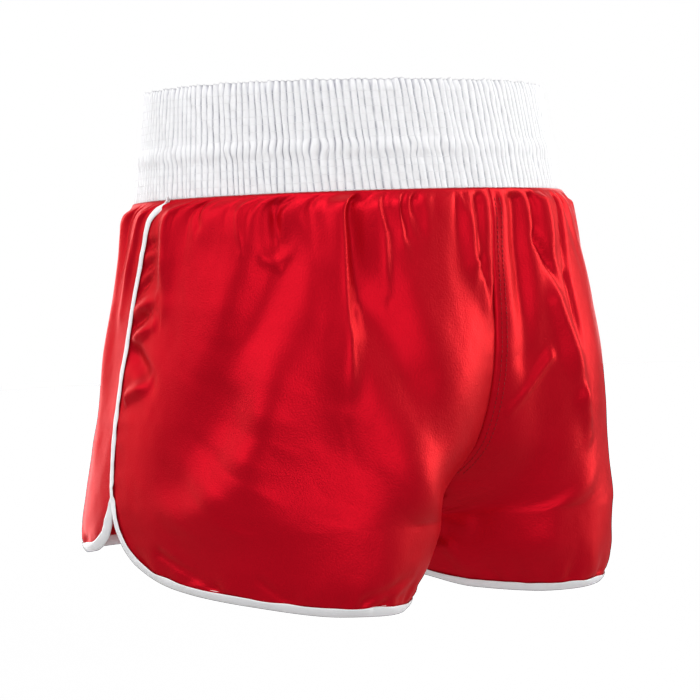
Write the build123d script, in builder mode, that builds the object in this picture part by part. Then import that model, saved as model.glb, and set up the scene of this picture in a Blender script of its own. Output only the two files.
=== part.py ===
# Boxing shorts: a shirred elastic waistband over four gathered satin panels, with a bound, vented
# dolphin hem. Millimetres, +Z up, front towards -Y, the wearer's left towards +X.
# The origin is the centre of the waist opening, at the top edge of the waistband.
from build123d import *
import math
import os

os.makedirs("parts", exist_ok=True)

# Waistband: two shirred elastics with a plain channel between them
band_height = 76.0
band_top_x, band_top_y = 166.0, 117.0
band_bottom_x, band_bottom_y = 172.0, 131.0
band_cloth = 1.6
elastic_thickness = 1.2
facing_thickness = 0.8
layer_gap = 0.1
upper_elastic_top, upper_elastic_bottom = -8.0, -42.0
lower_elastic_top, lower_elastic_bottom = -51.0, -72.0
stitch_row_pitch = 6.0

# Panels: half width, half depth, leg centre and fore-and-aft centre of the body at each level
cloth = 1.0
crotch_z = -303.0
levels = [
    (-band_height, 173.0, 132.0, 5.0, 0.0),
    (-90.0, 180.5, 133.5, 13.0, 1.5),
    (-110.0, 183.0, 134.0, 25.0, 2.5),
    (-150.0, 187.0, 138.0, 42.0, 2.0),
    (-200.0, 193.0, 144.5, 56.0, -1.0),
    (-250.0, 196.0, 148.0, 71.0, -9.5),
    (-283.0, 196.0, 145.0, 89.0, -15.0),
    (crotch_z, 195.0, 144.0, 97.5, -15.0),
    (-309.0, 194.5, 143.6, 97.6, -15.1),
    (-330.0, 192.0, 142.0, 98.0, -15.5),
    (-345.0, 189.5, 139.0, 98.5, -15.0),
    (-375.0, 178.0, 127.0, 99.0, -14.0),
]
crotch_index = 7
seam_gap = 0.5
half_turn = 180.0
inseam_angle = 179.4

# Side seam from the waist to the vent, as the y at each level
seam_y = [-12.0, -19.0, -25.0, -37.0, -47.0, -53.0, -56.0, -56.0, -56.0, -56.0, -56.0, -56.0]

# Vent and hem, seen from the side. Each corner is a y, a z and the way it meets the hem.
vent_y, vent_top_z = -56.0, -276.0
front_hem_z, front_corner_y = -319.0, -104.0
inseam_y, inseam_hem_z = -15.0, -336.0
back_hem_y, back_hem_z = 128.0, -361.0
corners = {-1: (-112.0, -322.0, (-1, -0.15)), 1: (14.0, -345.0, (1, -0.3))}
past_vent, vent_rise = 60.0, 12.0
vent_half_gap, vent_lean = 1.0, 0.05
leg_middle_x = 100.0
reach, below_z = 230.0, -420.0

# White binding tape on the edges, thicker than the cloth on both faces
hem_first = 4
binding_width, piping_width = 6.5, 5.0
binding_cloth = 0.7

# Stitching
thread_size, thread_gap = 0.5, 0.15
topstitch_offset = 5.0
rise_stitch_end = 8
side_stitch_end = 6
inseam_stitch_end = 11
waist_seam_rise = 1.0

# Blank woven label inside the centre back
label_width, label_height, label_top_z, label_cloth = 45.0, 22.0, -20.0, 0.5


def leg_angle(level, x, grow):
    # Angle round the leg's oval at which its face, grown by grow, reaches x
    z, half_x, half_y, leg_x, centre_y = level
    cosine = (x - leg_x) / (half_x - leg_x + grow)
    return min(math.degrees(math.acos(max(-1.0, min(1.0, cosine)))), inseam_angle)


def seam_angle(index, grow, shift):
    # Angle of the side seam at a level, moved round by shift millimetres
    z, half_x, half_y, leg_x, centre_y = levels[index]
    return math.degrees(math.asin((seam_y[index] + shift - centre_y) / (half_y + grow)))


def strip_wall(first, last, outside, inside, ends):
    # Wall between two offsets of the cloth's outer face, over the levels from first to last.
    # ends(index, grow) gives its two end angles round the leg at a level.
    with BuildPart() as wall:
        for index in range(first, last):
            z, half_x, half_y, leg_x, centre_y = levels[index]
            with BuildSketch(Plane.XY.offset(z)):
                with BuildLine():
                    arcs = []
                    for grow in (outside, inside):
                        start, end = ends(index, grow)
                        arcs.append(
                            EllipticalCenterArc(
                                (leg_x, centre_y),
                                half_x - leg_x + grow,
                                half_y + grow,
                                start_angle=start,
                                arc_size=end - start,
                            )
                        )
                    Line(arcs[0] @ 0, arcs[1] @ 0)
                    Line(arcs[0] @ 1, arcs[1] @ 1)
                make_face()
        loft(ruled=True)
    return wall.part


def front_ends(index, grow):
    # From the side seam round the front to the centre seam, or to the inseam below the crotch
    return seam_angle(index, grow, -seam_gap), -leg_angle(levels[index], seam_gap, grow)


def back_ends(index, grow):
    return seam_angle(index, grow, 0), leg_angle(levels[index], seam_gap, grow)


def piping_ends(index, grow):
    return seam_angle(index, grow, 0), seam_angle(index, grow, piping_width)


def band_ring(outside, inside, z_top, z_bottom):
    # Ring of the waistband between two offsets from its outer face
    with BuildPart() as ring:
        for grow, mode in ((outside, Mode.ADD), (inside, Mode.SUBTRACT)):
            for z in (z_top, z_bottom):
                down = -z / band_height
                with BuildSketch(Plane.XY.offset(z)):
                    Ellipse(
                        band_top_x + (band_bottom_x - band_top_x) * down + grow,
                        band_top_y + (band_bottom_y - band_top_y) * down + grow,
                    )
            loft(mode=mode)
    return ring.part


def hem_cut_face(grow):
    # All below the hem, seen from the side, with the hem raised by grow
    front_z, inseam_z, back_z = front_hem_z + grow, inseam_hem_z + grow, back_hem_z + grow
    with BuildSketch() as face:
        with BuildLine():
            Spline(
                (front_corner_y, front_z),
                (inseam_y, inseam_z),
                (back_hem_y, back_z),
                tangents=[(1, 0), (1, 0)],
            )
            Polyline(
                (back_hem_y, back_z),
                (reach, back_z),
                (reach, below_z),
                (-reach, below_z),
                (-reach, front_z),
                (front_corner_y, front_z),
            )
        make_face()
    return face.sketch


def corner_cut_face(side, grow):
    # All outside a panel's rounded vent corner, moved into the cloth by grow.
    # side is -1 on the front panel and 1 on the back.
    corner_y, corner_z, arrival = corners[side]
    corner_z += grow
    edge_y = vent_y + side * (vent_half_gap + grow)
    top_z = vent_top_z + grow
    with BuildSketch() as face:
        with BuildLine():
            Spline(
                (edge_y, top_z),
                (corner_y, corner_z),
                tangents=[(vent_lean * side, -1), arrival],
            )
            Polyline(
                (corner_y, corner_z),
                (corner_y, below_z),
                (vent_y - side * past_vent, below_z),
                (vent_y - side * past_vent, top_z + vent_rise),
                (edge_y, top_z),
            )
        make_face()
    return face.sketch


def side_prism(face, x_from, x_to):
    # A side view outline pushed through from one x to another
    with BuildPart() as prism:
        with BuildSketch(Plane.YZ.offset(x_from)):
            add(face)
        extrude(amount=x_to - x_from)
    return prism.part


def trimmed_wall(outside, inside, ends, side):
    # Wall of a panel, cut back from the hem and the vent corner to where the binding starts
    hem = hem_cut_face(binding_width)
    corner = corner_cut_face(side, binding_width)
    with BuildPart() as wall:
        add(strip_wall(0, len(levels), outside, inside, ends))
        add(side_prism(hem, -reach, reach), mode=Mode.SUBTRACT)
        add(side_prism(corner, leg_middle_x, reach), mode=Mode.SUBTRACT)
    return wall.part


def bound_edge(ends, side, x_from, x_to, has_corner):
    # The binding along a hem between two x planes, round the vent corner if it has one
    with BuildSketch() as band:
        add(hem_cut_face(binding_width))
        if has_corner:
            add(corner_cut_face(side, binding_width))
            add(corner_cut_face(side, 0), mode=Mode.SUBTRACT)
        add(hem_cut_face(0), mode=Mode.SUBTRACT)
    with BuildPart() as edge:
        add(strip_wall(hem_first, len(levels), binding_cloth, -cloth - binding_cloth, ends))
        add(side_prism(band.sketch, x_from, x_to), mode=Mode.INTERSECT)
    return edge.part


def save(part, name):
    part.label = name
    export_step(part, "parts/" + name + ".step")


def save_mirrored(part, name):
    with BuildPart() as other_side:
        mirror(part, about=Plane.YZ)
    save(other_side.part, name)


# Four satin panels, each with a white binding on its hem and vent edge.
# The back panel's binding runs on up the side seam as the piping.
for name, side, ends in (("front", -1, front_ends), ("back", 1, back_ends)):
    panel = trimmed_wall(0, -cloth, ends, side)
    save(panel, name + "_panel_left")
    save_mirrored(panel, name + "_panel_right")

    with BuildPart() as binding:
        add(bound_edge(ends, side, leg_middle_x, reach, True))
        add(bound_edge(ends, side, -reach, leg_middle_x, False))
        if name == "back":
            add(trimmed_wall(binding_cloth, thread_gap, piping_ends, side))
    save(binding.part, name + "_binding_left")
    save_mirrored(binding.part, name + "_binding_right")

# Waistband layers, from the outside in
elastic_face = -band_cloth - layer_gap
facing_face = elastic_face - elastic_thickness - layer_gap
label_face = facing_face - facing_thickness - layer_gap
for name, outside, thickness, z_top, z_bottom in (
    ("waistband_outer", 0, band_cloth, 0, -band_height),
    ("upper_elastic", elastic_face, elastic_thickness, upper_elastic_top, upper_elastic_bottom),
    ("lower_elastic", elastic_face, elastic_thickness, lower_elastic_top, lower_elastic_bottom),
    ("waistband_facing", facing_face, facing_thickness, 0, -band_height),
):
    save(band_ring(outside, outside - thickness, z_top, z_bottom), name)

with BuildPart() as size_label:
    add(band_ring(label_face, label_face - label_cloth, label_top_z, label_top_z - label_height))
    with Locations((0, reach / 2, label_top_z - label_height / 2)):
        Box(label_width, reach, label_height * 2, mode=Mode.INTERSECT)
save(size_label.part, "size_label")


def thread_ring(z):
    return band_ring(thread_gap + thread_size, thread_gap, z, z - thread_size)


# Rows of stitching through each elastic, then the row that joins the panels to the band
with BuildPart() as waistband_stitching:
    for z_top, z_bottom in (
        (upper_elastic_top, upper_elastic_bottom),
        (lower_elastic_top, lower_elastic_bottom),
    ):
        rows = int((z_top - z_bottom) / stitch_row_pitch)
        for row in range(rows + 1):
            add(thread_ring(z_top - row * stitch_row_pitch))
save(waistband_stitching.part, "waistband_stitching")
save(thread_ring(waist_seam_rise - band_height), "waist_seam_stitching")


def rise_thread(side):
    # Row beside the centre seam, towards the wearer's left
    def ends(index, grow):
        near = leg_angle(levels[index], topstitch_offset, grow)
        far = leg_angle(levels[index], topstitch_offset + thread_size, grow)
        return side * near, side * far

    return strip_wall(0, rise_stitch_end, thread_gap + thread_size, thread_gap, ends)


def side_thread(index, grow):
    middle = piping_width / 2
    return seam_angle(index, grow, middle), seam_angle(index, grow, middle + thread_size)


def inseam_thread(index, grow):
    middle = math.degrees(topstitch_offset / levels[index][2])
    width = math.degrees(2 * thread_size / levels[index][2])
    return -half_turn + middle, -half_turn + middle + width


save(rise_thread(-1), "front_rise_stitching")
save_mirrored(rise_thread(1), "back_rise_stitching")

over_binding = binding_cloth + thread_gap
side_row = strip_wall(0, side_stitch_end, over_binding + thread_size, over_binding, side_thread)
save(side_row, "side_stitching_left")
save_mirrored(side_row, "side_stitching_right")

with BuildPart() as inseam_row:
    add(
        strip_wall(
            crotch_index,
            inseam_stitch_end,
            thread_gap + thread_size,
            thread_gap,
            inseam_thread,
        )
    )
    with Locations((leg_middle_x / 2, 0, (crotch_z + inseam_hem_z + binding_width) / 2)):
        Box(leg_middle_x, reach, crotch_z - inseam_hem_z - 2 * binding_width, mode=Mode.INTERSECT)
save(inseam_row.part, "inseam_stitching_left")
save_mirrored(inseam_row.part, "inseam_stitching_right")
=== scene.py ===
import bpy
import bmesh
import collections
import math
import random
import numpy as np
from mathutils import Matrix, Vector


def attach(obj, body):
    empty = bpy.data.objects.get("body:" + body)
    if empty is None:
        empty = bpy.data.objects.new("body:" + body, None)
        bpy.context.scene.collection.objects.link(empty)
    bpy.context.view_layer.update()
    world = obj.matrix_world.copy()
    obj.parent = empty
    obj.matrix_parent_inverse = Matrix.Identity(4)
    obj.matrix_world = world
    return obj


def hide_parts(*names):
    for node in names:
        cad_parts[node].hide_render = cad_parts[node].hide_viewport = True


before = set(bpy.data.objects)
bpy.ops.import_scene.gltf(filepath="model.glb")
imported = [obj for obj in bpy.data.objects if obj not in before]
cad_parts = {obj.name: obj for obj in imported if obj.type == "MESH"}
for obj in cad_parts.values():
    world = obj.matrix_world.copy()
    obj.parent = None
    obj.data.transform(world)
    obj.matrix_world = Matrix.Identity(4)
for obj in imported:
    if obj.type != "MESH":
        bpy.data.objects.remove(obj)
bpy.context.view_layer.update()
mm = 0.001
waistZ = -76          # the seam between the band and the panels

# The body that the shorts are cut for, in millimetres down from the waist opening:
# height, half width, half depth, centre of the leg, fore-and-aft centre, y of the side seam
bodyLevels = np.array([
    (-76, 173, 132, 5, 0, 4),
    (-82, 177.5, 132.8, 9, 0.8, -12),
    (-90, 180.5, 133.5, 13, 1.5, -19),
    (-110, 183, 134, 25, 2.5, -25),
    (-150, 187, 138, 42, 2, -37),
    (-200, 193, 144.5, 56, -1, -47),
    (-250, 196, 148, 71, -9.5, -53),
    (-283, 196, 146, 89, -13.4, -56),
    (-303, 195, 144.4, 97.5, -14.8, -56),
    (-330, 192, 142, 98, -15.5, -56),
    (-345, 189.5, 139, 98.5, -15, -56),
    (-375, 178, 127, 99, -14, -56),
], float)


def smoothThrough(knots, values, at):
    # Monotone cubic through a few knots, which overshoots none of them
    knots, values, at = (np.asarray(x, float) for x in (knots, values, at))
    step = np.diff(knots)
    slope = np.diff(values) / step
    tangent = np.zeros(len(knots))
    same = slope[:-1] * slope[1:] > 0
    tangent[1:-1][same] = 2 * slope[:-1][same] * slope[1:][same] / (slope[:-1] + slope[1:])[same]
    tangent[0], tangent[-1] = slope[0], slope[-1]
    at = np.clip(at, knots[0], knots[-1])
    cell = np.clip(np.searchsorted(knots, at, side="right") - 1, 0, len(step) - 1)
    width = step[cell]
    t = (at - knots[cell]) / width
    return (
        values[cell] * (1 + 2 * t) * (1 - t) ** 2
        + tangent[cell] * width * t * (1 - t) ** 2
        + values[cell + 1] * t * t * (3 - 2 * t)
        + tangent[cell + 1] * width * t * t * (t - 1)
    )


def bodyAt(z):
    down = -bodyLevels[:, 0]
    return [smoothThrough(down, bodyLevels[:, i], -np.asarray(z, float)) for i in range(1, 6)]


def easeStep(low, high, value):
    t = np.clip((value - low) / (high - low), 0, 1)
    return t * t * (3 - 2 * t)


def grainNoise(seed, across, down, crossMm, downMm):
    # Smooth seeded value noise with its own scale each way
    size, startX, startY = 64, 17.3, 9.1
    rng = np.random.default_rng(seed)
    table = rng.uniform(-1, 1, (size, size))
    x = np.asarray(across, float) / crossMm + startX
    y = np.asarray(down, float) / downMm + startY
    xi, yi = np.floor(x).astype(int), np.floor(y).astype(int)
    u, v = x - xi, y - yi
    u, v = u * u * (3 - 2 * u), v * v * (3 - 2 * v)

    def pick(i, j):
        return table[(xi + i) % size, (yi + j) % size]

    return (
        pick(0, 0) * (1 - u) * (1 - v) + pick(1, 0) * u * (1 - v)
        + pick(0, 1) * (1 - u) * v + pick(1, 1) * u * v
    )


def linear(hexColour):
    parts = [int(hexColour[i:i + 2], 16) / 255 for i in (1, 3, 5)]
    return tuple(c / 12.92 if c <= 0.04045 else ((c + 0.055) / 1.055) ** 2.4 for c in parts) + (1.0,)


def addNode(tree, kind, settings=None, links=None):
    node = tree.nodes.new(kind)
    for key, value in (settings or {}).items():
        if hasattr(node, key):
            setattr(node, key, value)
        else:
            node.inputs[key].default_value = value
    for key, source in (links or {}).items():
        tree.links.new(source, node.inputs[key])
    return node


def newMaterial(name):
    made = bpy.data.materials.new(name)
    made.use_nodes = True
    made.node_tree.nodes.clear()
    return made, made.node_tree


def finishMaterial(tree, shader):
    addNode(tree, "ShaderNodeOutputMaterial", links={"Surface": shader.outputs["BSDF"]})


redSatin = {
    "face": "#D00E24", "shade": "#C40A1F", "glow": "#FF5A52", "yarnMm": 0.9, "floatMm": 2.6,
    "slubMm": 26.0, "grainMm": 1.1, "grainBump": 0.42, "grainDeepMm": 0.3, "roughness": 0.39,
    "roughLess": 0.04, "roughMore": 0.05, "metallic": 0.54, "sheen": 0.03, "anisotropic": 0.3,
    "sheenTint": "#FF5A5A", "sheenRoughness": 0.4, "specular": 0.35,
}


def makeRedSatin():
    # Polyester satin, woven with long floats: soft broad highlights in the cloth's own red.
    # The real yarns are too fine to show, so the grain is drawn about five times as coarse.
    made, tree = newMaterial("redPolyesterSatin")
    place = addNode(tree, "ShaderNodeUVMap", {"uv_map": "cloth"})
    perYarn, perFloat = 1 / (redSatin["yarnMm"] * mm), 1 / (redSatin["floatMm"] * mm)
    yarns = addNode(tree, "ShaderNodeMapping", {"Scale": (perYarn, perFloat, 1)},
                    {"Vector": place.outputs["UV"]})
    yarnNoise = addNode(tree, "ShaderNodeTexNoise", {"Scale": 1.0, "Detail": 2.0},
                        {"Vector": yarns.outputs["Vector"]})
    slubs = addNode(tree, "ShaderNodeTexNoise", {"Scale": 1 / (redSatin["slubMm"] * mm), "Detail": 3.0},
                    {"Vector": place.outputs["UV"]})
    colour = addNode(tree, "ShaderNodeMix", {"data_type": "RGBA"}, {})
    colour.inputs[6].default_value = linear(redSatin["face"])       # 6 and 7 are the two colours mixed
    colour.inputs[7].default_value = linear(redSatin["shade"])
    tree.links.new(slubs.outputs["Fac"], colour.inputs[0])
    rough = addNode(tree, "ShaderNodeMapRange", {
        "To Min": redSatin["roughness"] - redSatin["roughLess"],
        "To Max": redSatin["roughness"] + redSatin["roughMore"],
    }, {"Value": yarnNoise.outputs["Fac"]})
    grain = addNode(tree, "ShaderNodeTexNoise", {"Scale": 1 / (redSatin["grainMm"] * mm), "Detail": 1.0},
                    {"Vector": place.outputs["UV"]})
    surface = addNode(tree, "ShaderNodeMath", {"operation": "ADD"})
    tree.links.new(yarnNoise.outputs["Fac"], surface.inputs[0])
    tree.links.new(grain.outputs["Fac"], surface.inputs[1])
    bump = addNode(tree, "ShaderNodeBump", {
        "Strength": redSatin["grainBump"], "Distance": redSatin["grainDeepMm"] * mm,
    }, {"Height": surface.outputs["Value"]})
    shader = addNode(tree, "ShaderNodeBsdfPrincipled", {
        "Metallic": redSatin["metallic"], "Anisotropic": redSatin["anisotropic"],
        "Sheen Weight": redSatin["sheen"], "Sheen Roughness": redSatin["sheenRoughness"],
        "Sheen Tint": linear(redSatin["sheenTint"]),
        "Specular IOR Level": redSatin["specular"], "Specular Tint": linear(redSatin["glow"]),
    }, {
        "Base Color": colour.outputs[2], "Roughness": rough.outputs["Result"],
        "Normal": bump.outputs["Normal"],
    })
    finishMaterial(tree, shader)
    return made


whiteCloth = {
    "tapeFace": "#FDFDFF", "threadFace": "#F6F6F8", "redThread": "#9C0316",
    "elasticFace": "#ECEBE6", "labelFace": "#EFEFEF",
    "grainTone": 0.93, "grainBump": 0.25, "grainDeepMm": 0.2, "sheenRoughness": 0.5,
}
# The grey below is painted shade for the creases between the pleats; the other colour is the satin's own
# white.
pleatedSatin = {
    "ridge": "#FBFBFD", "creaseShadeGrey": "#B2B2BD", "shadeCoreShare": 0.03, "shadeLineShare": 0.16, "ruffleShadeShare": 0.16,
    "ruffleStartMm": 5.0, "ruffleEndMm": 13.0, "patchMm": 9.0, "faintestShade": 0.25, "roughness": 0.42,
    "patchLow": 0.3, "patchHigh": 0.7, "sheen": 0.2, "sheenRoughness": 0.5,
}


def makeWovenCloth(name, colour, roughness, yarnMm, sheen=0.2):
    # Plain finely woven or spun polyester: a matt to satin face with a faint thread grain, drawn a
    # few times coarser than the real yarn so that it shows
    made, tree = newMaterial(name)
    place = addNode(tree, "ShaderNodeTexCoord")
    grain = addNode(tree, "ShaderNodeTexNoise", {"Scale": 1 / (yarnMm * mm), "Detail": 2.0},
                    {"Vector": place.outputs["Object"]})
    tone = addNode(tree, "ShaderNodeMix", {"data_type": "RGBA"}, {})
    base = linear(colour)
    tone.inputs[6].default_value = base
    tone.inputs[7].default_value = tuple(c * whiteCloth["grainTone"] for c in base[:3]) + (1.0,)
    tree.links.new(grain.outputs["Fac"], tone.inputs[0])
    bump = addNode(tree, "ShaderNodeBump", {
        "Strength": whiteCloth["grainBump"], "Distance": whiteCloth["grainDeepMm"] * mm,
    }, {"Height": grain.outputs["Fac"]})
    shader = addNode(tree, "ShaderNodeBsdfPrincipled", {
        "Roughness": roughness, "Sheen Weight": sheen, "Sheen Roughness": whiteCloth["sheenRoughness"],
    }, {"Base Color": tone.outputs[2], "Normal": bump.outputs["Normal"]})
    finishMaterial(tree, shader)
    return made


def makePleatedSatin():
    # White satin drawn into pleats: bright ridges, and painted shade, a grey line, in each crease where two
    # pleats press together
    made, tree = newMaterial("whitePolyesterSatin")
    place = addNode(tree, "ShaderNodeUVMap", {"uv_map": "cloth"})
    parts = addNode(tree, "ShaderNodeSeparateXYZ", {}, {"Vector": place.outputs["UV"]})
    phase = addNode(tree, "ShaderNodeMath", {"operation": "FRACT"}, {0: parts.outputs["X"]})
    middle = addNode(tree, "ShaderNodeMath", {"operation": "SUBTRACT"}, {0: phase.outputs["Value"]})
    middle.inputs[1].default_value = 0.5
    away = addNode(tree, "ShaderNodeMath", {"operation": "ABSOLUTE"}, {0: middle.outputs["Value"]})
    # the painted shade lines open out in the ruffle, over the first rows below the top edge
    shadeLineShare = pleatedSatin["shadeLineShare"]
    fromTop = addNode(tree, "ShaderNodeMapRange", {
        "From Min": -pleatedSatin["ruffleEndMm"] * mm, "From Max": -pleatedSatin["ruffleStartMm"] * mm,
        "To Min": shadeLineShare, "To Max": shadeLineShare + pleatedSatin["ruffleShadeShare"],
    }, {"Value": parts.outputs["Y"]})
    shadeLine = addNode(tree, "ShaderNodeMapRange", {
        "From Min": pleatedSatin["shadeCoreShare"], "To Min": 1.0, "To Max": 0.0,
    }, {"Value": away.outputs["Value"], "From Max": fromTop.outputs["Result"]})
    # and the painted shade is stronger in some patches than others
    where = addNode(tree, "ShaderNodeTexCoord")
    patches = addNode(tree, "ShaderNodeTexNoise", {
        "Scale": 1 / (pleatedSatin["patchMm"] * mm), "Detail": 1.0,
    }, {"Vector": where.outputs["Object"]})
    strength = addNode(tree, "ShaderNodeMapRange", {
        "From Min": pleatedSatin["patchLow"], "From Max": pleatedSatin["patchHigh"],
        "To Min": pleatedSatin["faintestShade"], "To Max": 1.0,
    }, {"Value": patches.outputs["Fac"]})
    shadeShare = addNode(tree, "ShaderNodeMath", {"operation": "MULTIPLY"},
                    {0: shadeLine.outputs["Result"], 1: strength.outputs["Result"]})
    # painted shade: grey in the creases, the satin's own white on the ridges
    tone = addNode(tree, "ShaderNodeMix", {"data_type": "RGBA"}, {})
    tone.inputs[6].default_value = linear(pleatedSatin["ridge"])
    tone.inputs[7].default_value = linear(pleatedSatin["creaseShadeGrey"])
    tree.links.new(shadeShare.outputs["Value"], tone.inputs[0])
    shader = addNode(tree, "ShaderNodeBsdfPrincipled", {
        "Roughness": pleatedSatin["roughness"], "Sheen Weight": pleatedSatin["sheen"],
        "Sheen Roughness": pleatedSatin["sheenRoughness"],
    }, {"Base Color": tone.outputs[2]})
    finishMaterial(tree, shader)
    return made


redSatinCloth = makeRedSatin()
bandSatin = makePleatedSatin()
tapeSatin = makeWovenCloth("whiteSatinTape", whiteCloth["tapeFace"], roughness=0.40, yarnMm=0.6)
whiteThread = makeWovenCloth("whiteSpunThread", whiteCloth["threadFace"], roughness=0.6, yarnMm=0.3)
redThread = makeWovenCloth("redSpunThread", whiteCloth["redThread"], roughness=0.7, yarnMm=0.3, sheen=0.0)
elasticTape = makeWovenCloth("wovenElasticTape", whiteCloth["elasticFace"], roughness=0.7, yarnMm=0.8)
labelTaffeta = makeWovenCloth("wovenTaffetaLabel", whiteCloth["labelFace"], roughness=0.45, yarnMm=0.4)
print("materials made")


def linkMesh(name, sheet, material):
    # Turns a finished bmesh into a smooth object in the scene
    mesh = bpy.data.meshes.new(name)
    sheet.to_mesh(mesh)
    sheet.free()
    mesh.polygons.foreach_set("use_smooth", [True] * len(mesh.polygons))
    piece = bpy.data.objects.new(name, mesh)
    bpy.context.scene.collection.objects.link(piece)
    piece.data.materials.append(material)
    return piece


def gridPiece(name, columns, rows, place, material, ring=False, uvSize=None):
    # A grid of columns by rows, each point put in place by place(u, v) with u and v from 0 to 1
    sheet = bmesh.new()
    bmesh.ops.create_grid(sheet, x_segments=columns, y_segments=rows, size=0.5)
    sheet.verts.ensure_lookup_table()
    flat = np.array([v.co for v in sheet.verts])
    u, v = flat[:, 0] + 0.5, flat[:, 1] + 0.5
    points = place(u, v) * mm
    if uvSize:
        layer = sheet.loops.layers.uv.new("cloth")
        for face in sheet.faces:
            for loop in face.loops:
                i = loop.vert.index
                loop[layer].uv = (u[i] * uvSize[0], -v[i] * uvSize[1])
    for vert, point in zip(sheet.verts, points):
        vert.co = point
    if ring:
        bmesh.ops.remove_doubles(sheet, verts=sheet.verts, dist=0.01 * mm)
    return linkMesh(name, sheet, material)


def thicken(piece, thicknessMm, offset=-1.0):
    solid = piece.modifiers.new("thickness", "SOLIDIFY")
    solid.thickness = thicknessMm * mm
    solid.offset = offset
    solid.use_even_offset = False


def finishPiece(piece, nodes=()):
    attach(piece, "root")
    if nodes:
        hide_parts(*nodes)


panelShape = {
    "columns": 190, "rows": 170, "thicknessMm": 0.35, "edgeCrowding": 0.72, "foldGain": 1.7,
    "waistFadeZ": (-77, -84), "hemTuckMm": 2.2, "hemTuckReachMm": 6.0,
    "liftMm": 1.3, "liftReachMm": 14.0, "curlMm": 7.0, "curlZ": (-325, -355), "curlAcross": (0.5, 0.7),
    "sideSettleMm": 16, "riseSettleMm": 10, "seamKeep": 0.25, "uvHeight": 0.28,
    "backHem": [(0, -276), (0.012, -303), (0.045, -325), (0.12, -340), (0.25, -351), (0.42, -360),
                (0.62, -362), (0.8, -357), (0.9, -346), (1, -336)],
    "frontHem": [(0, -276), (0.006, -292), (0.03, -307), (0.09, -316), (0.2, -319), (0.6, -320),
                 (0.85, -327), (1, -336)],
    "backWidthMm": 300.0, "frontWidthMm": 250.0,
    "backCut": (0.36, 0.29), "frontCut": (0.31, 0.25), "cutShare": 0.9, "centreFade": 0.02,
}

# Folds on a panel, listed one by one: (across, height) from and to, width and height in millimetres.
# Across is 0 at the side seam and 1 at the centre seam. A pair of widths is towards the side seam
# and towards the centre, for a fold that is steep on one side.
backLeftFolds = [
    ((0.583, -70), (0.577, -174), (11, 2.4), 3.6),      # the long pleat under the waist
    ((0.602, -70), (0.606, -150), (2.4, 10), -4.6),
    ((0.577, -174), (0.548, -222), (12, 7), 2.8),
    ((0.43, -118), (0.30, -205), 19, -4.0),             # valley running to the side seam
    ((0.365, -115), (0.275, -182), 14, 1.6),
    ((0.515, -128), (0.49, -178), 14, 2.0),
    ((0.413, -205), (0.374, -240), 16, 2.2),            # broad curved ridge low on the leg
    ((0.374, -240), (0.32, -268), 15, 2.6),
    ((0.32, -268), (0.23, -290), 14, 3.0),
    ((0.23, -290), (0.12, -302), 12, 2.8),
    ((0.30, -218), (0.20, -264), 20, -2.4),
    ((0.52, -255), (0.43, -305), 24, -2.2),
    ((0.410, -78), (0.421, -109), 4.2, -3.2),           # small tucks along the waist
    ((0.385, -76), (0.407, -92), 1.7, -1.4),
    ((0.440, -76), (0.417, -92), 1.7, -1.4),
    ((0.388, -119), (0.425, -124), 3, 0.8),
    ((0.425, -124), (0.462, -114), 3, 0.8),
    ((0.165, -74), (0.205, -95), (3, 2), -2.4),
    ((0.314, -84), (0.335, -115), 2.2, 1.0),
    ((0.09, -84), (0.125, -145), (6, 8), 3.4),          # puckers off the side seam
    ((0.02, -150), (0.10, -143), 3, 2.0),
    ((0.02, -160), (0.08, -152), 2.5, -2.2),
    ((0.03, -170), (0.10, -161), 3, 2.2),
    ((0.025, -178), (0.115, -199), 5, -3.0),
    ((0.04, -208), (0.107, -200), 3.4, 2.2),
    ((0.02, -137), (0.07, -127), 2.2, -1.8),
    ((0.02, -122), (0.065, -117), 2.4, -1.8),
    ((0.02, -107), (0.06, -105), 2.4, -1.6),
    ((0.673, -74), (0.690, -100), 2.2, -2.4),
    ((0.683, -90), (0.676, -145), (8, 3), 1.9),
    ((0.731, -74), (0.739, -108), 2.2, -2.6),
    ((0.722, -84), (0.728, -112), 2.6, 1.4),
    ((0.765, -76), (0.775, -102), 4, -2.0),
    ((0.66, -165), (0.75, -240), 20, -4.6),
    ((0.920, -78), (0.927, -128), (9, 2.2), 2.2),       # ridge that runs into the centre seam
    ((0.927, -128), (1.0, -176), (9, 2.2), 2.2),
    ((0.952, -78), (0.958, -128), (2.4, 6), -2.6),
    ((0.958, -128), (0.995, -160), (2.4, 5), -2.2),
    ((0.905, -74), (0.91, -88), 2, -2.4),
    ((0.70, -285), (0.72, -330), 26, 4.6),              # fullness at the back of the leg
    ((0.10, -316), (0.17, -335), 2.4, -1.1),            # drags off the hem
    ((0.27, -335), (0.31, -348), 2.2, -1.0),
    ((0.46, -351), (0.59, -338), 2.6, -1.3),
    ((0.49, -357), (0.62, -346), 2.4, -1.1),
]
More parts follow.
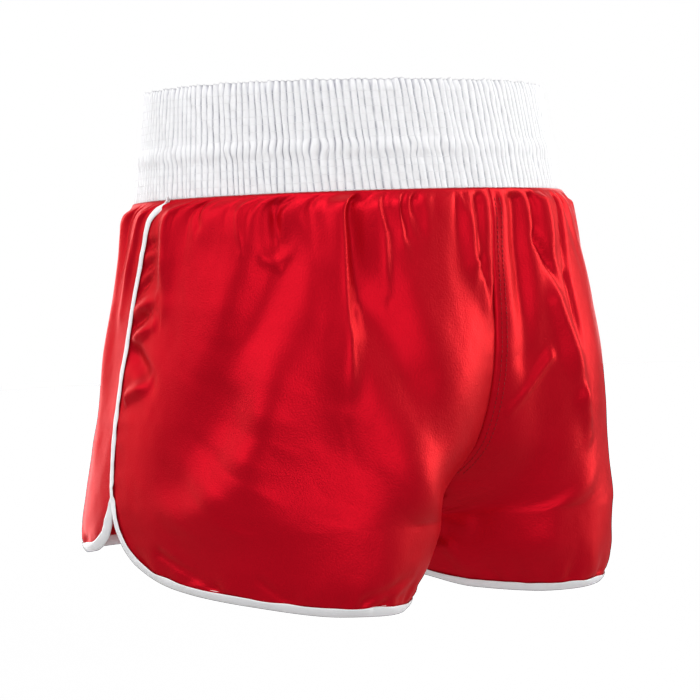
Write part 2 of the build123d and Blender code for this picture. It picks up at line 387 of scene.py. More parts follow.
backRightFolds = [
    ((0.904, -80), (0.916, -190), 9, -4.4),             # the long hollow beside the centre seam
    ((0.835, -72), (0.846, -112), (3.4, 2.6), -3.0),
    ((0.846, -112), (0.795, -143), (3.6, 3), -3.2),
    ((0.785, -84), (0.80, -130), 8, 3.0),
    ((0.70, -76), (0.745, -140), 3.2, -2.5),
    ((0.747, -140), (0.735, -188), 3.2, -1.8),
    ((0.813, -156), (0.731, -225), 7, 3.6),             # bright ridge down the outside of the leg
    ((0.731, -225), (0.68, -252), 5, 2.6),
    ((0.87, -200), (0.80, -320), 20, -3.4),
    ((0.84, -195), (0.94, -231), 3, 1.9),
    ((0.985, -284), (0.80, -312), 4.5, 2.8),            # folds out of the crotch
    ((0.985, -288), (0.84, -322), 3.5, -3.2),
    ((0.95, -296), (0.90, -330), 3, -2.4),
    ((0.93, -300), (0.87, -340), 2.6, 1.8),
    ((0.86, -305), (0.815, -341), 3, 1.7),
    ((0.64, -300), (0.66, -345), 14, 2.0),
    ((0.52, -74), (0.50, -150), (4, 9), -3.4),
    ((0.36, -78), (0.40, -180), 11, 3.2),
    ((0.16, -90), (0.22, -210), 12, -3.0),
    ((0.33, -215), (0.25, -300), 14, 1.5),
]
frontFolds = [
    ((0.90, -80), (0.93, -180), 9, -3.8),
    ((0.70, -74), (0.72, -150), (9, 3), 2.6),
    ((0.725, -74), (0.745, -130), (2.6, 8), -3.2),
    ((0.55, -80), (0.58, -200), 13, 3.0),
    ((0.36, -74), (0.31, -160), (3, 8), -3.4),
    ((0.22, -90), (0.14, -240), 12, 2.8),
    ((0.98, -250), (0.68, -290), 8, -3.2),
    ((0.99, -268), (0.76, -312), 7, 2.6),
    ((0.45, -200), (0.36, -300), 14, -2.6),
    ((0.06, -88), (0.09, -150), 6, 2.4),
]


strokeTaper, strokeTaperFrom, strokeUprightShare = 0.6, 0.5, 0.6


def strokeHeight(fold, s, z, widthMm):
    # A fold as a rounded ridge or valley along a line, lower towards its second end
    (a0, z0), (a1, z1), width, height = fold
    x0, x1 = a0 * widthMm, a1 * widthMm
    dx, dz = x1 - x0, z1 - z0
    along = ((s - x0) * dx + (z - z0) * dz) / (dx * dx + dz * dz)
    t = np.clip(along, 0, 1)
    awayX, awayZ = s - x0 - t * dx, z - z0 - t * dz
    if isinstance(width, tuple):
        width = np.where(awayX < 0, width[0], width[1])
    taper = 1 - strokeTaper * easeStep(strokeTaperFrom, 1.0, along)
    return height * taper * np.exp(-(awayX ** 2 + (awayZ * strokeUprightShare) ** 2) / width ** 2)


gatherSet = {
    "count": 19, "pitchJitter": 0.42, "depthMm": (1.2, 4.6), "widthMm": (1.6, 3.4), "lengthMm": (9, 34),
    "lean": 0.16, "openingMm": 26, "fadePower": 1.4, "pinchPower": 1.3,
    "puffMm": 1.6, "puffDownMm": 9, "puffLengthMm": 22,
}


def gatherHeight(seed, s, z, widthMm):
    # Gathers under the waist seam: sharp valleys that open and fade as they run down, with puffs between
    rng = random.Random(seed)
    down = np.maximum(waistZ - z, 0)
    puffAway = (down - gatherSet["puffDownMm"]) / gatherSet["puffLengthMm"]
    total = gatherSet["puffMm"] * np.exp(-puffAway ** 2)
    for i in range(gatherSet["count"]):
        centre = (i + 0.5 + rng.uniform(-1, 1) * gatherSet["pitchJitter"]) / gatherSet["count"] * widthMm
        depth = rng.uniform(*gatherSet["depthMm"])
        width = rng.uniform(*gatherSet["widthMm"])
        length = rng.uniform(*gatherSet["lengthMm"])
        lean = rng.uniform(-gatherSet["lean"], gatherSet["lean"])
        spread = width * (1 + down / gatherSet["openingMm"])
        fade = np.exp(-(down / length) ** gatherSet["fadePower"])
        away = np.abs(s - centre - lean * down) / spread
        total = total - depth * fade * np.exp(-away ** gatherSet["pinchPower"])
    return total


dragSet = {
    "count": 21, "depthMm": (1.2, 3.6), "widthMm": (2.0, 3.8), "lengthMm": (6, 19), "lean": 0.9,
    "openingMm": 14.0, "besideWidths": 1.7, "besideShare": 0.6, "clearOfTapeMm": (4.5, 8.5),
}


def dragHeight(seed, s, fromHem, widthMm):
    # Short slanted drags where the tape holds the hem: a valley with a ridge beside it, fading upwards
    rng = random.Random(seed)
    total = 0
    for i in range(dragSet["count"]):
        centre = (i + rng.random()) / dragSet["count"] * widthMm
        depth = rng.uniform(*dragSet["depthMm"])
        width = rng.uniform(*dragSet["widthMm"]) * (1 + fromHem / dragSet["openingMm"])
        length = rng.uniform(*dragSet["lengthMm"])
        away = (s - centre - rng.uniform(-1, 1) * dragSet["lean"] * fromHem) / width
        beside = dragSet["besideShare"] * np.exp(-(away - dragSet["besideWidths"]) ** 2)
        total = total - depth * np.exp(-fromHem / length) * (np.exp(-away ** 2) - beside)
    return total * easeStep(*dragSet["clearOfTapeMm"], fromHem)


# Unplanned ripples of the cloth: height, then size across and size down, all in millimetres
ripples = {
    "broad": (1.6, 55, 80), "middle": (0.45, 20, 34), "fine": (0.12, 6, 10),
    "hem": (1.2, 7, 50), "side": (1.1, 30, 8), "rise": (0.8, 30, 7),
}
rippleLean, seamRippleShare, hemRippleFullMm = 0.3, 0.3, 5
rippleReachMm = {"hem": 11.0, "side": 12.0, "rise": 9.0}
rippleFullZ = {"broad": (waistZ, -120), "middle": (waistZ, -100), "side": (-80, -96)}


def rippleHeight(kind, seed, s, z):
    height, across, down = ripples[kind]
    return height * grainNoise(seed, s, z, across, down)


def clothHeight(kind, side, seed, folds, a, z, hemZ):
    # How far the cloth stands off the body it is cut for, in millimetres
    shape = panelShape
    widthMm = shape[kind + "WidthMm"]
    s = a * widthMm
    height = gatherHeight(seed, s, z, widthMm)
    for fold in folds:
        height = height + shape["foldGain"] * strokeHeight(fold, s, z, widthMm)
    height = height * easeStep(*shape["waistFadeZ"], z)
    fromHem = np.maximum(z - hemZ, 0)
    height -= shape["hemTuckMm"] * np.exp(-fromHem / shape["hemTuckReachMm"])
    height += rippleHeight("broad", seed + 1, s + rippleLean * z, z) * easeStep(*rippleFullZ["broad"], z)
    height += rippleHeight("middle", seed + 2, s, z) * easeStep(*rippleFullZ["middle"], z)
    height += rippleHeight("fine", seed + 3, s, z)
    height += dragHeight(seed + 7, s, fromHem, widthMm)
    hemPull = np.exp(-fromHem / rippleReachMm["hem"]) * easeStep(0, hemRippleFullMm, fromHem)
    height += hemPull * rippleHeight("hem", seed + 4, s, z * 0 + side)
    sidePull = np.exp(-s / rippleReachMm["side"]) * easeStep(*rippleFullZ["side"], z)
    height += sidePull * rippleHeight("side", seed + 5, s * seamRippleShare, z)
    risePull = np.exp(-(widthMm - s) / rippleReachMm["rise"])
    height += risePull * rippleHeight("rise", seed + 6, s * seamRippleShare, z)
    settle = easeStep(0, shape["sideSettleMm"], s) * easeStep(0, shape["riseSettleMm"], widthMm - s)
    return height * (shape["seamKeep"] + (1 - shape["seamKeep"]) * settle)


def panelPoints(kind, side, seed, folds, a, b):
    # Points of a panel: a runs from the side seam to the centre, b from waist to hem
    hem = panelShape[kind + "Hem"]
    hemZ = smoothThrough([h[0] for h in hem], [h[1] for h in hem], np.clip(a, 0, 1))
    z = waistZ + (hemZ - waistZ) * b
    halfWidth, halfDepth, legX, centreY, seamY = bodyAt(z)
    halfLeg = halfWidth - legX
    seamAngle = np.arcsin(np.clip((seamY - centreY) / halfDepth, -1, 1))
    centreAngle = np.arccos(np.clip(-legX / halfLeg, -1, 1))
    if kind == "back":
        angle = seamAngle + (centreAngle - seamAngle) * a
    else:
        angle = seamAngle - (centreAngle + seamAngle) * a
    grow = clothHeight(kind, side, seed, folds, a, z, hemZ)
    shape = panelShape
    if kind == "back":
        # its side edge stands a little proud of the front panel's, and its inner corner turns in
        grow = grow + shape["liftMm"] * np.exp(-a * shape["backWidthMm"] / shape["liftReachMm"])
        grow = grow - shape["curlMm"] * easeStep(*shape["curlZ"], z) * easeStep(*shape["curlAcross"], a)
    outX, outY = np.cos(angle) * halfDepth, np.sin(angle) * halfLeg
    size = np.hypot(outX, outY)
    fade = easeStep(0.0, shape["centreFade"], 1 - a)
    x = legX + halfLeg * np.cos(angle) + grow * outX / size * fade
    y = centreY + halfDepth * np.sin(angle) + grow * outY / size
    return np.stack([side * x, y, z], -1)


Panel = collections.namedtuple("Panel", "kind side at")


def makePanel(kind, side, seed, folds):
    shape = panelShape
    crowd = shape["edgeCrowding"]
    name = kind + "Panel" + ("Left" if side > 0 else "Right")
    node = kind + "_panel_" + ("left" if side > 0 else "right")

    def spread(u):
        return (1 - crowd) * u + crowd * u * u

    def place(u, v):
        return panelPoints(kind, side, seed, folds, spread(u), v)

    piece = gridPiece(name, shape["columns"], shape["rows"], place, redSatinCloth,
                      uvSize=(shape[kind + "WidthMm"] * mm, shape["uvHeight"]))
    fixNormals(piece, outward=True)
    thicken(piece, shape["thicknessMm"])
    finishPiece(piece, [node])

    def at(a, b):
        return panelPoints(kind, side, seed, folds, np.asarray(a, float), np.asarray(b, float))

    return Panel(kind, side, at)


def fixNormals(piece, outward=True):
    # Turns the piece's faces so that they point away from the middle of the shorts, or towards it,
    # judged from a sample of them
    sampleEvery, middleShift = 37, 0.01
    mesh = piece.data
    total = 0.0
    for polygon in list(mesh.polygons)[::sampleEvery]:
        away = Vector((polygon.center.x, polygon.center.y + middleShift, 0))
        total += polygon.normal.dot(away)
    if (total < 0) == outward:
        mesh.flip_normals()


panels = {
    ("back", 1): makePanel("back", 1, 11, backLeftFolds),
    ("back", -1): makePanel("back", -1, 23, backRightFolds),
    ("front", 1): makePanel("front", 1, 37, frontFolds),
    ("front", -1): makePanel("front", -1, 53, frontFolds),
}
print("panels made")

bindingShape = {
    "widthMm": 6.2, "pipingWidthMm": 4.4, "foldMm": 0.75, "tapeMm": 0.3, "crownMm": 0.55, "rippleMm": 0.16,
    "crownPower": 0.8, "rippleSeed": 77, "rippleLengthMm": 3.2, "rippleAcrossMm": 9,
    "stations": 420, "across": 14, "foldSteps": 8,
    "startShare": {"back": 0.009, "front": 0.985}, "hemEnd": 0.985,
    "tuckMm": 1.6, "tuckZ": (-81, -78), "backWidensZ": (-262, -292), "frontWidensZ": (-274, -298),
    "frontStart": 0.15, "stitchShare": 0.8, "stitchLiftMm": 0.25, "stitchTopZ": -80, "stitchWidthMm": 3,
    "inwardStep": (0.004, -0.012), "flatFromMm": 0.5,
}


def edgeFrame(panel, a, b, inA, inB):
    # Points of the panel along a path, the direction to points inA and inB further on, and the normals
    here = panel.at(a, b)
    inside = panel.at(a + inA, b + inB)
    along = np.gradient(here, axis=0)
    along /= np.linalg.norm(along, axis=1, keepdims=True)
    inward = inside - here
    inward -= along * np.sum(inward * along, axis=1, keepdims=True)
    inward /= np.maximum(np.linalg.norm(inward, axis=1, keepdims=True), 1e-9)
    normal = np.cross(along, inward)
    normal /= np.linalg.norm(normal, axis=1, keepdims=True)
    legMiddle, smoothing = 100, 6
    normal, inward = smoothRows(normal, smoothing), smoothRows(inward, smoothing)
    outward = here.copy()
    outward[:, 2] = 0
    outward[:, 0] -= panel.side * legMiddle
    flip = np.sign(np.mean(np.sum(normal * outward, axis=1)))
    return here, inward, normal * (flip if flip else 1)


def smoothRows(rows, reach):
    # Running mean along a path, so that tape and thread don't follow every small crease
    count = len(rows)
    total = sum(rows[np.clip(np.arange(count) + k, 0, count - 1)] for k in range(-reach, reach + 1))
    return total / np.linalg.norm(total, axis=1, keepdims=True)


def evenPath(panel, a, b, stations):
    # The same edge with its stations evenly spaced
    points = panel.at(a, b)
    length = np.concatenate([[0], np.cumsum(np.linalg.norm(np.diff(points, axis=0), axis=1))])
    even = np.linspace(0, length[-1], stations)
    return np.interp(even, length, a), np.interp(even, length, b), length[-1]


def boundPath(panel):
    # Down the side seam from just under the band, or from the top of the vent on the front, then round
    # the hem to the inseam
    start = bindingShape["startShare"][panel.kind]
    downSteps, acrossSteps = 800, 3000
    down = np.linspace(start, 1.0, downSteps)
    across = bindingShape["hemEnd"] * np.linspace(0, 1, acrossSteps) ** 2
    a = np.concatenate([np.zeros(len(down)), across[1:]])
    b = np.concatenate([down, np.ones(len(across) - 1)])
    return a, b


def makeBinding(panel):
    # Makes the panel's tape, and returns the path and normals of the stitching along it
    shape = bindingShape
    sideName = "Left" if panel.side > 0 else "Right"
    node = panel.kind + "_binding_" + sideName.lower()
    a, b = boundPath(panel)
    stations = shape["stations"] * (2 if panel.kind == "back" else 1)
    a, b, lengthMm = evenPath(panel, a, b, stations)
    here, inward, normal = edgeFrame(panel, a, b, *shape["inwardStep"])
    width, fold = shape["widthMm"], shape["foldMm"]
    # narrow as piping down the side, and at the top of the vent, then full width round the hem
    narrowest = shape["pipingWidthMm"] if panel.kind == "back" else width * shape["frontStart"]
    widths = narrowest + (width - narrowest) * easeStep(*shape[panel.kind + "WidensZ"], here[:, 2])
    # across the fold: outer face from its inner edge, round the cloth's raw edge, then the inner face
    profile = []
    half, steps = shape["across"] // 2, shape["foldSteps"]
    for i in range(half):
        profile.append((width * (1 - i / half), 1))
    for i in range(steps + 1):
        turn = math.pi / 2 - math.pi * i / steps
        profile.append((-fold * math.cos(turn), math.sin(turn)))
    for i in range(half):
        profile.append((width * (i + 1) / half, -1))
    profile = np.array(profile)

    def place(u, v):
        i = np.clip(np.round(u * (len(a) - 1)).astype(int), 0, len(a) - 1)
        j = np.clip(np.round(v * (len(profile) - 1)).astype(int), 0, len(profile) - 1)
        inMm, faceSide = profile[j, 0], profile[j, 1]
        sit = np.where(inMm > shape["flatFromMm"], 1, 0)
        bow = np.sin(np.clip(inMm / width, 0, 1) * math.pi)
        crown = shape["crownMm"] * bow ** shape["crownPower"]
        wrinkle = grainNoise(shape["rippleSeed"], i * lengthMm / len(a), 0 * i,
                             shape["rippleLengthMm"], shape["rippleAcrossMm"])
        ripple = shape["rippleMm"] * bow * wrinkle
        lift = np.where(faceSide > 0, fold * faceSide + sit * (crown + ripple), fold * faceSide - sit * crown)
        lift = lift - np.where(faceSide > 0, 0, panelShape["thicknessMm"] * sit)
        lift = lift - shape["tuckMm"] * easeStep(*shape["tuckZ"], here[i, 2])
        narrow = np.where(inMm > 0, widths[i] / width, 1)
        return here[i] + inward[i] * (inMm * narrow)[:, None] + normal[i] * lift[:, None]

    piece = gridPiece(panel.kind + "Binding" + sideName, len(a) - 1, len(profile) - 1, place, tapeSatin)
    thicken(piece, shape["tapeMm"], 0.0)
    finishPiece(piece, [node])
    lift = shape["foldMm"] + shape["stitchLiftMm"]
    keep = (widths > shape["stitchWidthMm"]) & (here[:, 2] < shape["stitchTopZ"])
    row = here + inward * (widths * shape["stitchShare"])[:, None] + normal * lift
    return row[keep], normal[keep]


bindingPaths = {}
for key, panel in panels.items():
    bindingPaths[key] = makeBinding(panel)
print("bindings made")

bandShape = {
    "topX": 166.0, "topY": 117.0, "bottomX": 172.5, "bottomY": 131.5, "heightMm": 76.0,
    "pleats": 186, "perPleat": 8, "rows": 65, "facingRows": 24, "topRollShare": 0.06, "overlapMm": 2.0,
    "depthMm": 2.4, "valleyShare": 0.42, "ridgeShare": 0.88, "meanRidge": 0.8, "unevenMm": 0.3,
    "channel": (-41.0, -51.0), "channelRamp": (3, 4), "ruffleMm": 7.0, "bulgeMm": 0.9,
    "heldShare": 0.22, "rowPitchMm": 5.2, "threadRows": ((-8.0, 7), (-54.0, 4)), "threadRadiusMm": 0.2,
    "facingInMm": 4.6, "facingShare": 0.5, "wander": 0.0007, "seed": 301,
    "threadSides": 3,
}
# How uneven the pleats are: sideways in shares of a pleat, then in depth and in the ruffle
pleatVary = {
    "sideBroad": 0.17, "sideEach": 0.12, "sideChannel": 0.30, "sideBelow": 0.26, "sideWander": 0.12,
    "depthMean": 0.85, "depthEach": 0.4, "depthFine": 0.15, "unevenWander": 0.001,
    "ruffleOpening": 0.6, "ruffleDeeper": 0.3, "channelDeeper": 0.2, "ruffleFullMm": 1,
}
# The band's edges: the top stands up and rolls in, and the lower one is uneven and drawn in
bandEdges = {
    "riseMm": 0.6, "riseEachMm": 0.6, "riseRidgeMm": 0.4, "insideZ": -2.0, "insideInMm": 2.6,
    "rollInMm": 1.3, "rollFade": 50, "dropLessMm": 0.2, "dropEachMm": 1.2,
    "seamInMm": 1.2, "seamFrom": 0.965,
}


def channelShare(z):
    # 1 in the plain channel between the two elastics, easing to 0 over them
    top, bottom = bandShape["channel"]
    outside, inside = bandShape["channelRamp"]
    return easeStep(top + outside, top - inside, z) * easeStep(bottom - outside, bottom + inside, z)


def pleatTurn(u, z, seed):
    # Where round the waist a pleat line lies: the pleats are uneven, and step aside in the channel
    pleats = bandShape["pleats"]
    top, bottom = bandShape["channel"]
    vary, wandered = pleatVary, u + z * bandShape["wander"]
    shift = vary["sideBroad"] * periodicNoise(seed, u, pleats // 3)
    shift = shift + vary["sideEach"] * periodicNoise(seed + 1, u, pleats)
    shift = shift + vary["sideChannel"] * periodicNoise(seed + 2, u, pleats // 2) * channelShare(z)
    shift = shift + vary["sideBelow"] * periodicNoise(seed + 3, u, pleats // 2) * easeStep(top, bottom, z)
    shift = shift + vary["sideWander"] * periodicNoise(seed + 4, wandered, pleats // 2)
    return u + shift / pleats


def periodicNoise(seed, turn, count):
    # Smooth seeded noise with count values round the waist
    rng = np.random.default_rng(seed)
    table = rng.uniform(-1, 1, count)
    x = (turn % 1.0) * count
    i = np.floor(x).astype(int)
    t = x - i
    t = t * t * (3 - 2 * t)
    return table[i % count] * (1 - t) + table[(i + 1) % count] * t


def bandPoint(turn, z, grow):
    down = np.clip(-z / bandShape["heightMm"], -0.1, 1.1)
    halfX = bandShape["topX"] + (bandShape["bottomX"] - bandShape["topX"]) * down + grow
    halfY = bandShape["topY"] + (bandShape["bottomY"] - bandShape["topY"]) * down + grow
    angle = 2 * math.pi * turn
    return np.stack([halfX * np.cos(angle), halfY * np.sin(angle), z], -1)


def pleatHeight(u, z, seed):
    # How far the pleated cloth stands off the band's mean surface, in millimetres
    shape, vary = bandShape, pleatVary
    pleats, wander = shape["pleats"], shape["wander"]
    fromValley = np.abs(np.cos(math.pi * pleats * u))
    ruffle = easeStep(-shape["ruffleMm"], -vary["ruffleFullMm"], z)
    inChannel = channelShare(z)
    looser = vary["ruffleOpening"] + periodicNoise(seed + 6, u, pleats)
    opening = shape["valleyShare"] * (1 + ruffle * looser)
    flatTopped = 1 - np.exp(-(fromValley / opening) ** 2)
    ridge = shape["ridgeShare"] * flatTopped + (1 - shape["ridgeShare"]) * fromValley
    strength = vary["depthMean"] + vary["depthEach"] * periodicNoise(seed + 7, u, pleats)
    strength = strength + vary["depthFine"] * periodicNoise(seed + 9, u + z * wander, pleats * 2)
    # each row of stitching holds the pleats in a little
    rowPhase = 2 * math.pi * (z - shape["threadRows"][0][0]) / shape["rowPitchMm"]
    held = (np.cos(rowPhase) * 0.5 + 0.5) ** 2 * (1 - inChannel) * (1 - ruffle)
    swell = 1 + vary["ruffleDeeper"] * ruffle + vary["channelDeeper"] * inChannel
    depth = shape["depthMm"] * strength * (swell - shape["heldShare"] * held)
    uneven = shape["unevenMm"] * periodicNoise(seed + 8, u + z * vary["unevenWander"], pleats)
    return (ridge - shape["meanRidge"]) * depth + shape["bulgeMm"] * inChannel + uneven


def bandPlace(u, v):
    # v runs from inside the top edge, over it, and down the outside to just below the seam
    seed, topRoll, pleats = bandShape["seed"], bandShape["topRollShare"], bandShape["pleats"]
    over = np.clip(v / topRoll, 0, 1)
    downShare = np.clip((v - topRoll) / (1 - topRoll), 0, 1)
    ridgeWave = np.cos(2 * math.pi * pleats * u)
    edge, overlap = bandEdges, bandShape["overlapMm"]
    edgeRise = edge["riseMm"] + edge["riseEachMm"] * periodicNoise(seed + 20, u, pleats)
    edgeRise = edgeRise + edge["riseRidgeMm"] * ridgeWave
    hemDrop = overlap - edge["dropLessMm"] + edge["dropEachMm"] * periodicNoise(seed + 21, u, pleats // 3)
    overTop = edge["insideZ"] + (edgeRise - edge["insideZ"]) * np.sin(over * math.pi / 2)
    outside = edgeRise + (-bandShape["heightMm"] - hemDrop - edgeRise) * downShare
    z = np.where(v > topRoll, outside, overTop)
    height = pleatHeight(u, np.clip(z, waistZ - overlap, 0), seed)
    # in at the inner side of the top edge, rounded over it, and in again at the seam
    height = height - edge["insideInMm"] * (1 - over)
    height = height - edge["rollInMm"] * np.exp(-downShare * edge["rollFade"]) * (over >= 1)
    height = height - edge["seamInMm"] * easeStep(edge["seamFrom"], 1.0, v)
    return bandPoint(pleatTurn(u, z, seed), z, height)


bandColumns = bandShape["pleats"] * bandShape["perPleat"]
bandCloth = (bandShape["pleats"], bandShape["heightMm"] * mm)
shirredBand = gridPiece("shirredBand", bandColumns, bandShape["rows"], bandPlace, bandSatin,
                        ring=True, uvSize=bandCloth)
fixNormals(shirredBand)
finishPiece(shirredBand, ["waistband_outer"])
print("band made")


def facingPlace(u, v):
    # Inner layer: the same gathers, flatter, down the inside of the band
    topZ, facingHeight = -1.2, 74.0
    z = topZ - facingHeight * v
    height = bandShape["facingShare"] * pleatHeight(u, z, bandShape["seed"]) - bandShape["facingInMm"]
    return bandPoint(pleatTurn(u, z, bandShape["seed"]), z, height)


bandFacing = gridPiece("bandFacing", bandColumns, bandShape["facingRows"], facingPlace, bandSatin,
                       ring=True, uvSize=bandCloth)
fixNormals(bandFacing, outward=False)
finishPiece(bandFacing, ["waistband_facing"])


def bandThreadRing(sheet, z):
    # One row of elastic stitching, lying along the pleats as a fine thread
    ring = bmesh.ops.create_grid(sheet, x_segments=bandColumns, y_segments=bandShape["threadSides"],
                                 size=0.5)["verts"]
    flat = np.array([v.co for v in ring])
    u, around = flat[:, 0] + 0.5, (flat[:, 1] + 0.5) * 2 * math.pi
    radius, seed = bandShape["threadRadiusMm"], bandShape["seed"]
    level = np.full_like(u, z)
    height = pleatHeight(u, level, seed) + radius * np.cos(around)
    points = bandPoint(pleatTurn(u, level, seed), z + radius * np.sin(around), height) * mm
    for vert, point in zip(ring, points):
        vert.co = point
    bmesh.ops.remove_doubles(sheet, verts=ring, dist=0.005 * mm)


def makeBandThreads():
    rows = bmesh.new()
    for first, count in bandShape["threadRows"]:
        for i in range(count):
            bandThreadRing(rows, first - i * bandShape["rowPitchMm"])
    finishPiece(linkMesh("bandStitchRows", rows, whiteThread), ["waistband_stitching"])


makeBandThreads()
print("band threads made")

stitchShape = {"lengthMm": 2.6, "pitchMm": 3.3, "thickMm": 0.45, "proudShare": 0.25, "overClothMm": 0.1,
               "inwardStep": (-0.01, 0.0), "around": 6, "along": 5}
riseRows = {"insetsMm": (5.0, 9.0), "fromShare": 0.02, "toShare": 0.76, "stations": 260}
inseamRow = {"across": 0.985, "fromShare": 0.90, "toShare": 0.985, "stations": 60}
sideShare = 0.33          # of the back tape's stitching, the part that is on the side seam


def layStitches(name, rows, material, nodes=()):
    # Each row is (points, normals): small rounded stitches end to end along it
    lengthMm, pitch, thick = (stitchShape[k] for k in ("lengthMm", "pitchMm", "thickMm"))
    run = bmesh.new()
    for points, normals in rows:
        gone = np.concatenate([[0], np.cumsum(np.linalg.norm(np.diff(points, axis=0), axis=1))])
        for start in np.arange(0.5 * pitch, gone[-1] - lengthMm, pitch):
            ends = [np.array([np.interp(d, gone, points[:, k]) for k in range(3)])
                    for d in (start, start + lengthMm)]
            up = np.array([np.interp(start + lengthMm / 2, gone, normals[:, k]) for k in range(3)])
            middle = (ends[0] + ends[1]) / 2 + up * thick * stitchShape["proudShare"]
            forward = Vector(ends[1] - ends[0]).normalized()
            side = Vector(up).cross(forward).normalized()
            top = forward.cross(side)
            turn = Matrix((forward, side, top)).transposed().to_4x4()
            scale = Matrix.Diagonal((lengthMm / 2, thick / 2, thick / 2, 1))
            place = Matrix.Translation(Vector(middle) * mm) @ turn @ scale @ Matrix.Diagonal((mm, mm, mm, 1))
            bmesh.ops.create_uvsphere(run, u_segments=stitchShape["around"], v_segments=stitchShape["along"],
                                      radius=1.0, matrix=place @ Matrix.Rotation(math.pi / 2, 4, "Y"))
    finishPiece(linkMesh(name, run, material), nodes)


def rowOnPanel(panel, a, b):
    here, inward, normal = edgeFrame(panel, a, b, *stitchShape["inwardStep"])
    return here + normal * stitchShape["overClothMm"], normal


def riseRow(panel, insetMm):
    # Beside the centre seam, from the waist to just above the crotch
    b = np.linspace(riseRows["fromShare"], riseRows["toShare"], riseRows["stations"])
    width = panelShape[panel.kind + "WidthMm"]
    return rowOnPanel(panel, np.full_like(b, 1 - insetMm / width), b)


for kind in ("back", "front"):
    rows = [riseRow(panels[(kind, -1)], inset) for inset in riseRows["insetsMm"]]
    layStitches(kind + "RiseStitching", rows, redThread, [kind + "_rise_stitching"])

for side, sideName in ((1, "left"), (-1, "right")):
    ending = sideName.capitalize()
    row, normal = bindingPaths[("back", side)]
    upTo = int(len(row) * sideShare)
    layStitches("sideStitching" + ending, [(row[:upTo], normal[:upTo])], whiteThread,
                ["side_stitching_" + sideName])
    hemRows = [(row[upTo:], normal[upTo:]), bindingPaths[("front", side)]]
    layStitches("hemStitching" + ending, hemRows, whiteThread)
    b = np.linspace(inseamRow["fromShare"], inseamRow["toShare"], inseamRow["stations"])
    inseamRows = [rowOnPanel(panels[(kind, side)], np.full_like(b, inseamRow["across"]), b)
                  for kind in ("back", "front")]
    layStitches("inseamStitching" + ending, inseamRows, redThread,
                ["inseam_stitching_" + sideName])
print("stitching made")

# What is left of the solids, inside the band or along its seam, keeps its shape and gets its cloth
for name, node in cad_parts.items():
    if not node.hide_render:
        cloth = elasticTape if "elastic" in name else labelTaffeta if "label" in name else whiteThread
        node.data.materials.clear()
        node.data.materials.append(cloth)

studio = {
    "floorZ": -0.62, "floorSize": 14.0, "floorTone": "#A8A8A8", "floorRoughness": 0.9, "middleZ": -0.18,
    "ambientLow": 0.16, "ambientHigh": 0.5, "ambientFrom": -0.7, "ambientTo": 0.8,
}
# name, azimuth and elevation in degrees, distance, size in metres, watts
softboxes = [
    ("keySoftbox", 80, 28, 1.7, (1.0, 1.3), 7),
    ("leftSoftbox", 35, 14, 1.6, (0.6, 1.3), 5),
    ("rightSoftbox", 242, 14, 1.6, (0.6, 1.4), 14),
    ("frontSoftbox", 350, 8, 1.8, (0.8, 1.4), 14),
    ("topSoftbox", 134, 60, 1.7, (1.4, 0.8), 10),
    ("fillSoftbox", 158, 2, 2.6, (1.8, 1.5), 17),
    ("farRightSoftbox", 300, 18, 1.8, (0.7, 1.2), 10),
]
cameraSet = {
    "azimuth": 134.3, "distance": 2.28, "height": -0.151, "aimAcross": -0.0055, "aimZ": -0.1853,
    "rollDegrees": 2.5, "frameWidth": 0.504, "clip": (0.1, 40),
}


def makeFloor():
    # A plain floor that only takes the shadow, so the background stays white
    made, tree = newMaterial("whiteSweepPaper")
    shader = addNode(tree, "ShaderNodeBsdfPrincipled",
                     {"Base Color": linear(studio["floorTone"]), "Roughness": studio["floorRoughness"]})
    finishMaterial(tree, shader)
    sheet = bmesh.new()
    bmesh.ops.create_grid(sheet, x_segments=1, y_segments=1, size=studio["floorSize"],
                          matrix=Matrix.Translation((0, 0, studio["floorZ"])))
    floor = linkMesh("studioFloor", sheet, made)
    floor.is_shadow_catcher = True


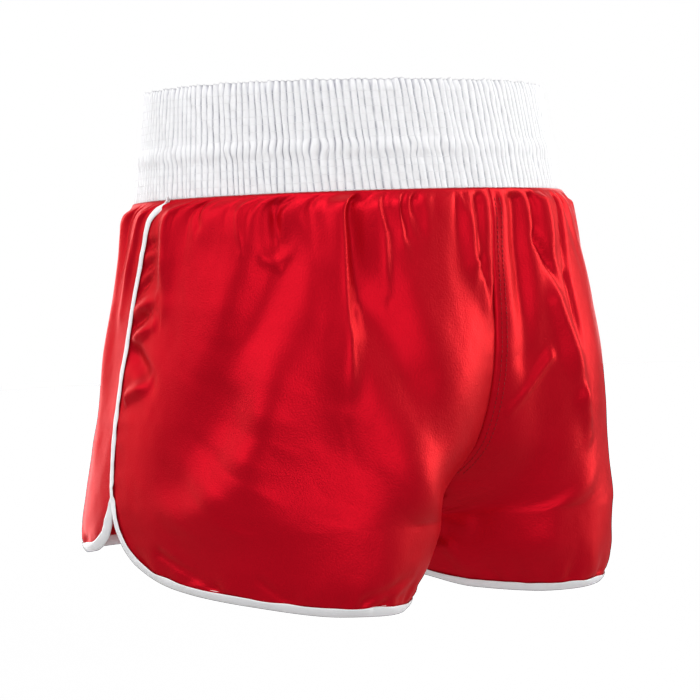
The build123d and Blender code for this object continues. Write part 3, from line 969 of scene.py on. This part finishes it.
def addLight(name, azimuth, elevation, distance, size, power):
    data = bpy.data.lights.new(name, "AREA")
    data.shape = "RECTANGLE"
    data.size, data.size_y = size
    data.energy = power
    light = bpy.data.objects.new(name, data)
    a, e = math.radians(azimuth), math.radians(elevation)
    centre = Vector((0, 0, studio["middleZ"]))
    back = Vector((math.sin(a) * math.cos(e), -math.cos(a) * math.cos(e), math.sin(e)))
    light.location = centre + back * distance
    light.rotation_mode = "QUATERNION"
    light.rotation_quaternion = back.to_track_quat("Z", "Y")
    bpy.context.scene.collection.objects.link(light)


makeFloor()
for softbox in softboxes:
    addLight(*softbox)

# The camera sees a white surround. The cloth is lit by a dimmer one, brighter above than below.
world = bpy.data.worlds.new("studioWorld")
bpy.context.scene.world = world
world.use_nodes = True
sky = world.node_tree
rays = addNode(sky, "ShaderNodeLightPath")
place = addNode(sky, "ShaderNodeTexCoord")
height = addNode(sky, "ShaderNodeSeparateXYZ", links={"Vector": place.outputs["Generated"]})
ambient = addNode(sky, "ShaderNodeMapRange", {
    "From Min": studio["ambientFrom"], "From Max": studio["ambientTo"],
    "To Min": studio["ambientLow"], "To Max": studio["ambientHigh"],
}, {"Value": height.outputs["Z"]})
strength = addNode(sky, "ShaderNodeMix", {"data_type": "FLOAT"},
                   {"Factor": rays.outputs["Is Camera Ray"], "A": ambient.outputs["Result"]})
strength.inputs["B"].default_value = 1.0
sky.nodes["Background"].inputs["Color"].default_value = (1, 1, 1, 1)
sky.links.new(strength.outputs["Result"], sky.nodes["Background"].inputs["Strength"])


def makeCamera():
    c = cameraSet
    data = bpy.data.cameras.new("studioCamera")
    camera = bpy.data.objects.new("studioCamera", data)
    bpy.context.scene.collection.objects.link(camera)
    data.lens = data.sensor_width * c["distance"] / c["frameWidth"]
    a = math.radians(c["azimuth"])
    back = Vector((math.sin(a), -math.cos(a), 0))
    right = Vector((math.cos(a), math.sin(a), 0))
    camera.location = back * c["distance"] + Vector((0, 0, c["height"]))
    aim = right * c["aimAcross"] + Vector((0, 0, c["aimZ"]))
    look = (camera.location - aim).normalized()
    camera.rotation_mode = "QUATERNION"
    roll = Matrix.Rotation(math.radians(-c["rollDegrees"]), 3, "Z")
    camera.rotation_quaternion = (look.to_track_quat("Z", "Y").to_matrix() @ roll).to_quaternion()
    data.clip_start, data.clip_end = c["clip"]
    bpy.context.scene.camera = camera


makeCamera()
bpy.context.scene.view_settings.view_transform = "Standard"
print("studio made")
